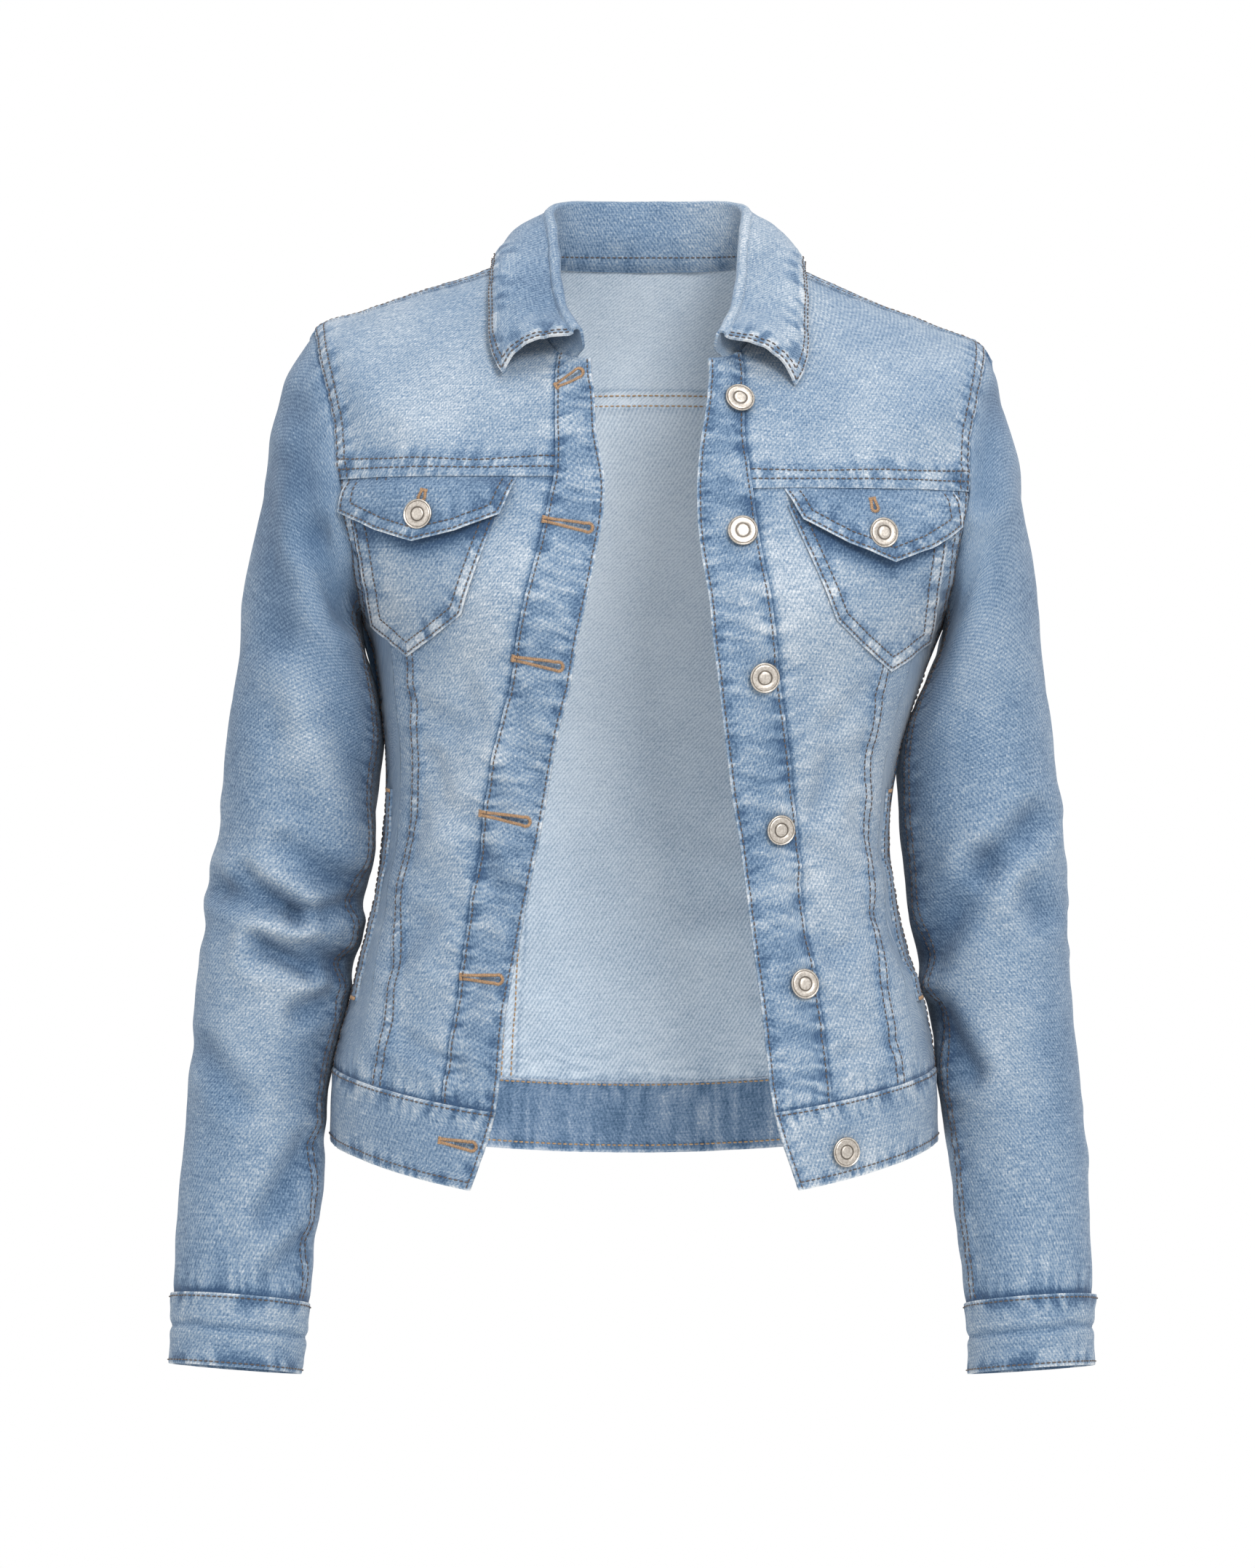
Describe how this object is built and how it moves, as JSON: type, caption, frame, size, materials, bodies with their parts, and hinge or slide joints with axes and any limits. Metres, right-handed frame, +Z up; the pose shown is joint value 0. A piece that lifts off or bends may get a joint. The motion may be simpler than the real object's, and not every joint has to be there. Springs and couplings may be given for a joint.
{
  "type": "denim jacket",
  "caption": "Short fitted denim jacket held open and hollow, with a folded collar, flap chest pockets, full sleeves, cuffs and a waistband.",
  "frame": {"origin": "midway between the two points where the shoulders meet the neck, on the middle plane, where the wearer's shoulders carry the jacket", "axes": "+X towards the wearer's left, -Y out of the front, +Z up"},
  "size_m": [0.5462, 0.2363, 0.7041],
  "materials": {
    "washed_denim": "washed cotton twill",
    "blue_denim": "washed cotton twill, deeper blue",
    "pale_denim": "washed cotton twill, faded",
    "brushed_nickel": "satin, warm grey"
  },
  "bodies": {
    "root": {"yoke_back": "pale_denim", "back_center": "washed_denim", "back_side_left": "blue_denim", "back_side_right": "blue_denim", "collar": "blue_denim", "waistband": "pale_denim", "waistband_button": "brushed_nickel", "yoke_front_right": "pale_denim", "front_center_right": "washed_denim", "front_side_right": "blue_denim", "placket_right": "pale_denim", "pocket_right": "washed_denim", "pocket_flap_right": "blue_denim", "side_welt_right": "pale_denim", "sleeve_top_right": "washed_denim", "sleeve_under_right": "blue_denim", "cuff_right": "pale_denim", "flap_button_right": "brushed_nickel", "cuff_button_right": "brushed_nickel", "yoke_front_left": "pale_denim", "front_center_left": "washed_denim", "front_side_left": "blue_denim", "placket_left": "pale_denim", "pocket_left": "washed_denim", "pocket_flap_left": "blue_denim", "side_welt_left": "pale_denim", "sleeve_top_left": "washed_denim", "sleeve_under_left": "blue_denim", "cuff_left": "pale_denim", "flap_button_left": "brushed_nickel", "cuff_button_left": "brushed_nickel", "placket_button_1": "brushed_nickel", "placket_button_2": "brushed_nickel", "placket_button_3": "brushed_nickel", "placket_button_4": "brushed_nickel", "placket_button_5": "brushed_nickel"}
  },
  "joints": []
}
